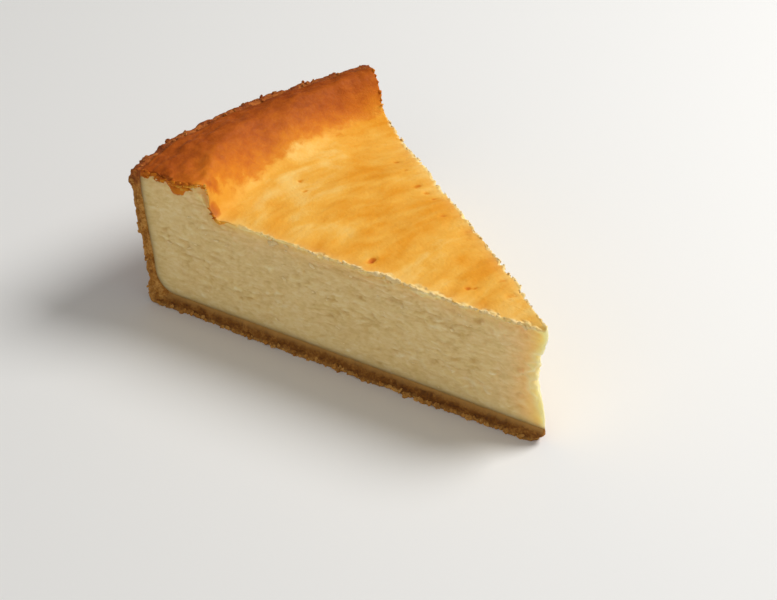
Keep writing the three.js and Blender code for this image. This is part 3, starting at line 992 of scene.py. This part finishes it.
# %% [markdown]
# Baked food is never one tone. Two shader groups hold what both pieces share. Baked mottling is the
# slow drift from lighter to darker that an oven leaves. Crumb grain is the close grain of a dry or
# broken surface: it gives a tone for the colour and a height for a bump. Both take a place, so that
# they can follow the cake's own radius and arc, and a stretch along each of those.

# %% Baked mottling
def new_group(name, inputs, outputs):
    """An empty shader group with named sockets, and its two end nodes."""
    tree = bpy.data.node_groups.new(name, "ShaderNodeTree")
    for label, kind, default in inputs:
        socket = tree.interface.new_socket(label, in_out="INPUT", socket_type=kind)
        if default is not None:
            socket.default_value = default
    for label, kind in outputs:
        tree.interface.new_socket(label, in_out="OUTPUT", socket_type=kind)
    return tree, tree.nodes.new("NodeGroupInput"), tree.nodes.new("NodeGroupOutput")


def make_mottling():
    """Soft lighter and darker patches from 0 to 1."""
    tree, given, result = new_group(
        "Baked mottling",
        [("Place", "NodeSocketVector", None), ("Stretch", "NodeSocketVector", (1, 1, 1)),
         ("Patches", "NodeSocketFloat", 1.0), ("Contrast", "NodeSocketFloat", 2.0)],
        [("Tone", "NodeSocketFloat")])
    scaled = add_node(tree, "ShaderNodeVectorMath",
                      {0: given.outputs["Place"], 1: given.outputs["Stretch"]}, operation="MULTIPLY")
    wide = add_node(tree, "ShaderNodeTexNoise", {"Vector": scaled.outputs["Vector"],
                    "Scale": given.outputs["Patches"], "Detail": 5.0, "Roughness": 0.55, "Distortion": 0.4})
    centred = calculate(tree, "SUBTRACT", wide.outputs["Fac"], 0.5)
    stronger = calculate(tree, "MULTIPLY", centred, given.outputs["Contrast"])
    tone = calculate(tree, "ADD", stronger, 0.5, clamp=True)
    tree.links.new(tone, result.inputs["Tone"])
    return tree


MOTTLING = make_mottling()
print("Shared group:", MOTTLING.name)

# %% [markdown]
# The grain needs two patterns: fine noise for its tone, and rounded cells between the crumbs for its
# height. The same cell holds the helpers that place a group in a material and feed its shader.

# %% Crumb grain
def make_grain():
    """Close grain: a tone from 0 to 1 and a height for a bump."""
    tree, given, result = new_group(
        "Crumb grain",
        [("Place", "NodeSocketVector", None), ("Stretch", "NodeSocketVector", (1, 1, 1)),
         ("Grains", "NodeSocketFloat", 12.0)],
        [("Tone", "NodeSocketFloat"), ("Height", "NodeSocketFloat")])
    scaled = add_node(tree, "ShaderNodeVectorMath",
                      {0: given.outputs["Place"], 1: given.outputs["Stretch"]}, operation="MULTIPLY")
    fine = add_node(tree, "ShaderNodeTexNoise", {"Vector": scaled.outputs["Vector"],
                    "Scale": given.outputs["Grains"], "Detail": 6.0, "Roughness": 0.65})
    cells = add_node(tree, "ShaderNodeTexVoronoi", {"Vector": scaled.outputs["Vector"],
                     "Scale": given.outputs["Grains"]}, feature="SMOOTH_F1")
    hollow = calculate(tree, "MULTIPLY", cells.outputs["Distance"], -0.6)
    height = calculate(tree, "ADD", fine.outputs["Fac"], hollow)
    tone = remap(tree, fine.outputs["Fac"], 0.3, 0.7)
    tree.links.new(tone, result.inputs["Tone"])
    tree.links.new(height, result.inputs["Height"])
    return tree


GRAIN = make_grain()


def use_group(tree, group, inputs):
    """The outputs of a group that is placed in a material with its own values."""
    return add_node(tree, "ShaderNodeGroup", inputs, node_tree=group).outputs


def new_finish(name):
    """A material, its nodes and its Principled shader."""
    material = bpy.data.materials.new(name)
    material.use_nodes = True
    tree = material.node_tree
    return material, tree, tree.nodes["Principled BSDF"]


def dress(tree, shader, colour, grain, roughness, bump, bump_depth):
    """Feed a shader its colour, a roughness between two values, and a bump by the grain."""
    tree.links.new(colour, shader.inputs["Base Color"])
    tree.links.new(remap(tree, grain["Tone"], 0.0, 1.0, *roughness), shader.inputs["Roughness"])
    relief = add_node(tree, "ShaderNodeBump", {"Height": grain["Height"], "Strength": bump,
                                               "Distance": bump_depth})
    tree.links.new(relief.outputs["Normal"], shader.inputs["Normal"])


print("Shared group:", GRAIN.name)

# %% [markdown]
# The baked skin goes from pale gold to deep brown. Streaks run round the cake, because the batter was
# smoothed that way, and wide patches lie under them. The browned mark then leads from gold to brown,
# and fine specks keep that change uneven. The torn lips are pale.

# %% Colour of the baked skin
GOLDEN = ((0.1, (252, 208, 118)), (0.42, (245, 180, 72)), (0.68, (236, 158, 44)), (0.95, (224, 138, 26)))
BROWN = ((0.12, (240, 168, 54)), (0.34, (222, 132, 30)), (0.55, (204, 110, 26)), (0.75, (182, 90, 22)),
         (0.97, (144, 62, 10)))
GOLDEN_TIP = srgb(252, 202, 100)
TORN_LIP = srgb(253, 222, 150)


def skin_colour(tree, here):
    """Gold with streaks and patches, brown towards the rim."""
    streaks = use_group(tree, MOTTLING, {"Place": here, "Stretch": (1.4, 0.6, 0.4),
                                         "Patches": 1.1, "Contrast": 2.4})["Tone"]
    patches = use_group(tree, MOTTLING, {"Place": here, "Stretch": (1.0, 0.8, 0.5),
                                         "Patches": 0.55, "Contrast": 2.2})["Tone"]
    both = calculate(tree, "ADD", calculate(tree, "MULTIPLY", streaks, 0.5),
                     calculate(tree, "MULTIPLY", patches, 0.5))
    golden = mix_colours(tree, mark(tree, "tip", 0.6), ramp(tree, both, GOLDEN), GOLDEN_TIP)
    specks = use_group(tree, MOTTLING, {"Place": here, "Stretch": (1.0, 0.7, 1.0),
                                        "Patches": 5.0, "Contrast": 2.2})["Tone"]
    wander = calculate(tree, "MULTIPLY", calculate(tree, "SUBTRACT", specks, 0.5), 0.2)
    browned = calculate(tree, "ADD", mark(tree, "browned"), wander)
    skin = mix_colours(tree, remap(tree, browned, 0.06, 0.3), golden, ramp(tree, browned, BROWN))
    return mix_colours(tree, mark(tree, "lip", 0.85), skin, TORN_LIP)


print("Tones of the skin:", len(GOLDEN), "from pale to deep gold,", len(BROWN), "from gold to brown")

# %% [markdown]
# The cut is cream, with curds of their own tone. Painted shade darkens the hollows and creases between
# them and painted light brightens the raised curds. It is yellower under the skin, and a painted glow at
# the thin tip stands in for light shining through. Beside the pastry it takes on the pastry's brown, as a
# real filling does, so the joint between the two pieces stays soft.

# %% Colour of the cut
CREAM = ((0.15, (222, 188, 118)), (0.5, (240, 211, 148)), (0.85, (251, 229, 178)))
UNDER_SKIN = srgb(238, 190, 96)
# Painted glow: a lighter, yellower cream at the thin tip, standing in for light shining through it.
PAINTED_TIP_GLOW = srgb(254, 212, 126)
PALE_LIP = srgb(254, 228, 170)
STAINED = srgb(186, 138, 70)


def cut_colour(tree, here):
    """Cream with faint smears and painted shade, yellower under the skin, painted glow at the tip, brown by
    the pastry.
    """
    smears = use_group(tree, MOTTLING, {"Place": here, "Stretch": (0.9, 0.9, 2.0),
                                        "Patches": 6.0, "Contrast": 2.0})["Tone"]
    # The curd mark holds the curds' own tone plus painted shade in hollows and painted light on raised
    # curds.
    tone = calculate(tree, "ADD", calculate(tree, "MULTIPLY", smears, 0.3), mark(tree, "curd_and_shade", 0.7))
    warm = mix_colours(tree, mark(tree, "under_skin", 0.55), ramp(tree, tone, CREAM), UNDER_SKIN)
    # Painted glow at the tip, on top of the real subsurface scattering.
    painted_glow = mix_colours(tree, mark(tree, "tip", 0.8), warm, PAINTED_TIP_GLOW)
    pale = mix_colours(tree, mark(tree, "lip", 0.8), painted_glow, PALE_LIP)
    return mix_colours(tree, mark(tree, "near_pastry", 0.95), pale, STAINED)


print("Tones of the cut:", len(CREAM))

# %% [markdown]
# Set cheese is moist and slightly see-through, so light that enters the thin tip comes out again:
# that is subsurface scattering. The same nodes make three finishes. The cut scatters the most, the
# skin a little, and the crumbs not at all, because light that scatters in so small a piece turns it
# grey. The skin mark says where skin ends, and the grain breaks up that line.

# %% Finishes of the filling
GLOW_DEPTH = 0.0042
SKIN_FROM = 0.9  # a face counts as skin if the skin mark of all its corners is above this


def make_filling_finish(name, glow, gloss):
    """glow is how much of the light scatters inside, and gloss how strong the highlights are."""
    material, tree, shader = new_finish(name)
    here = cake_place_of(tree)
    grain = use_group(tree, GRAIN, {"Place": here, "Grains": 14.0})
    edge = calculate(tree, "MULTIPLY", calculate(tree, "SUBTRACT", grain["Tone"], 0.5), 0.5)
    skin = remap(tree, calculate(tree, "ADD", mark(tree, "skin"), edge), 0.3, 0.7)
    colour = mix_colours(tree, skin, cut_colour(tree, here), skin_colour(tree, here))
    dress(tree, shader, colour, grain, roughness=(0.5, 0.66), bump=0.35, bump_depth=0.0004)
    shader.inputs["Subsurface Weight"].default_value = glow
    shader.inputs["Subsurface Radius"].default_value = (1.0, 0.96, 0.8)
    shader.inputs["Subsurface Scale"].default_value = GLOW_DEPTH
    shader.inputs["IOR"].default_value = 1.42
    shader.inputs["Specular IOR Level"].default_value = gloss
    return material


cut_finish = make_filling_finish("cut cheese filling", glow=0.85, gloss=0.3)
crumb_finish = make_filling_finish("cheese filling crumbs", glow=0.0, gloss=0.3)
skin_finish = make_filling_finish("baked skin", glow=0.1, gloss=0.12)
filling.data.materials.append(cut_finish)
filling.data.materials.append(skin_finish)
filling_crumbs.data.materials.append(crumb_finish)
skin_scraps.data.materials.append(skin_finish)
skin_marks = np.zeros(len(filling.data.vertices))
filling.data.attributes["skin"].data.foreach_get("value", skin_marks)
for face in filling.data.polygons:
    on_skin = len(face.vertices) == 4 and skin_marks[list(face.vertices)].min() > SKIN_FROM
    face.material_index = int(on_skin)
print("Finishes of the filling:", [finish.name for finish in filling.data.materials])

# %% [markdown]
# Shortcrust is dry and matt. The outside of the wall was toasted against the ring, and the rim got
# the most heat. Where the knife broke it, single crumbs show as lighter and darker grains. The floor
# is dark partly with moisture and partly with painted shade, paler where it is soaked right beside
# the filling, and lightest in the dry crumbs along its lower edge.

# %% Finish of the pastry
BROKEN = ((0.1, (136, 82, 22)), (0.5, (182, 121, 44)), (0.9, (214, 160, 84)))
TOASTED = ((0.1, (136, 76, 24)), (0.5, (172, 106, 40)), (0.9, (198, 136, 66)))
DAMP_AND_SHADE = ((0.1, (92, 48, 8)), (0.5, (120, 70, 14)), (0.9, (156, 100, 34)))
SCORCHED = ((0.1, (118, 48, 8)), (0.5, (150, 68, 14)), (0.95, (186, 100, 32)))
SOAKED = srgb(184, 136, 70)
DRY_EDGE = srgb(212, 160, 88)


def make_pastry_finish():
    """Dry and crumbly, coloured by its marks."""
    material, tree, shader = new_finish("baked shortcrust")
    here = cake_place_of(tree)
    grain = use_group(tree, GRAIN, {"Place": here, "Grains": 16.0})
    patches = use_group(tree, MOTTLING, {"Place": here, "Patches": 2.4, "Contrast": 2.0})["Tone"]
    fine = calculate(tree, "MULTIPLY", calculate(tree, "ADD", grain["Tone"], patches), 0.5)
    tone = calculate(tree, "ADD", mark(tree, "crumb_tone", 0.3), fine, clamp=True)
    colour = mix_colours(tree, mark(tree, "toasted"), ramp(tree, tone, BROKEN), ramp(tree, tone, TOASTED))
    # Damp tone: real moisture beside the filling, and painted shade on the floor's cut.
    colour = mix_colours(tree, mark(tree, "moist_and_shade", 0.85), colour, ramp(tree, tone, DAMP_AND_SHADE))
    colour = mix_colours(tree, mark(tree, "soaked"), colour, SOAKED)
    colour = mix_colours(tree, mark(tree, "outer_edge", 0.45), colour, DRY_EDGE)
    colour = mix_colours(tree, mark(tree, "scorched", 0.85), colour, ramp(tree, tone, SCORCHED))
    dress(tree, shader, colour, grain, roughness=(0.72, 0.9), bump=0.5, bump_depth=0.0005)
    shader.inputs["Subsurface Weight"].default_value = 0.08
    shader.inputs["Subsurface Radius"].default_value = (1.0, 0.5, 0.2)
    shader.inputs["Subsurface Scale"].default_value = 0.0015
    shader.inputs["Specular IOR Level"].default_value = 0.25
    return material


pastry_finish = make_pastry_finish()
pastry.data.materials.append(pastry_finish)
pastry_crumbs.data.materials.append(pastry_finish)
print("Pastry finish:", pastry_finish.name)

# %% [markdown]
# The slice stands on a plain pale floor, which is stage and not part of it. Its tone hardly drifts, so
# that it shows the slice's shadow and nothing of its own.

# %% Floor
FLOOR_SIZE = 6.0
PALE_FLOOR = ((0.2, (236, 235, 232)), (0.8, (242, 241, 239)))


def add_floor():
    """A wide matt floor at height 0."""
    half = FLOOR_SIZE / 2
    mesh = bpy.data.meshes.new("floor")
    corners = [(-half, -half, 0), (half, -half, 0), (half, half, 0), (-half, half, 0)]
    mesh.from_pydata(corners, [], [(0, 1, 2, 3)])
    floor = bpy.data.objects.new("floor", mesh)
    bpy.context.scene.collection.objects.link(floor)
    material, tree, shader = new_finish("pale floor")
    cloudy = add_node(tree, "ShaderNodeTexNoise", {"Scale": 3.0, "Detail": 2.0})
    tree.links.new(ramp(tree, cloudy.outputs["Fac"], PALE_FLOOR), shader.inputs["Base Color"])
    shader.inputs["Roughness"].default_value = 0.8
    mesh.materials.append(material)
    return floor


floor = add_floor()
print("Floor:", FLOOR_SIZE, "m wide")

# %% [markdown]
# Two soft lamps and a pale sky light it. Seen from the camera, the strong lamp stands on the right
# and a little behind the slice, so the top and the far side are bright and the near cut lies in soft
# shade. A weak lamp in front on the left keeps its smears readable.

# %% Lamps and sky
KEY_LIGHT = {"azimuth": 68, "elevation": 48, "distance": 0.9, "size": 0.5, "watts": 7.0}
FILL_LIGHT = {"azimuth": -65, "elevation": 30, "distance": 1.0, "size": 0.8, "watts": 1.15}
SKY_COLOUR = (1.0, 0.99, 0.97, 1.0)
SKY_STRENGTH = 0.3


def add_lamp(name, azimuth, elevation, distance, size, watts):
    """A soft round lamp that shines at the slice."""
    data = bpy.data.lights.new(name, "AREA")
    data.shape = "DISK"
    data.size = size
    data.energy = watts
    lamp = bpy.data.objects.new(name, data)
    bpy.context.scene.collection.objects.link(lamp)
    towards = direction(math.radians(azimuth), math.radians(elevation))
    lamp.location = towards * distance
    lamp.rotation_euler = towards.to_track_quat("Z", "Y").to_euler()
    return lamp


def set_sky():
    world = bpy.data.worlds.new("pale sky")
    world.use_nodes = True
    background = world.node_tree.nodes["Background"]
    background.inputs["Color"].default_value = SKY_COLOUR
    background.inputs["Strength"].default_value = SKY_STRENGTH
    bpy.context.scene.world = world


add_lamp("key lamp", **KEY_LIGHT)
add_lamp("fill lamp", **FILL_LIGHT)
set_sky()
bpy.context.scene.view_settings.view_transform = "Standard"
print("Key lamp:", KEY_LIGHT["watts"], "W")

# %% [markdown]
# Each piece is tied to the slice's one body.

# %% Tie the pieces to the slice
SLOTS = {"cheese_filling": (filling, filling_crumbs, skin_scraps), "shortcrust": (pastry, pastry_crumbs)}
for slot, pieces in SLOTS.items():
    for piece in pieces:
        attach(piece, "root")
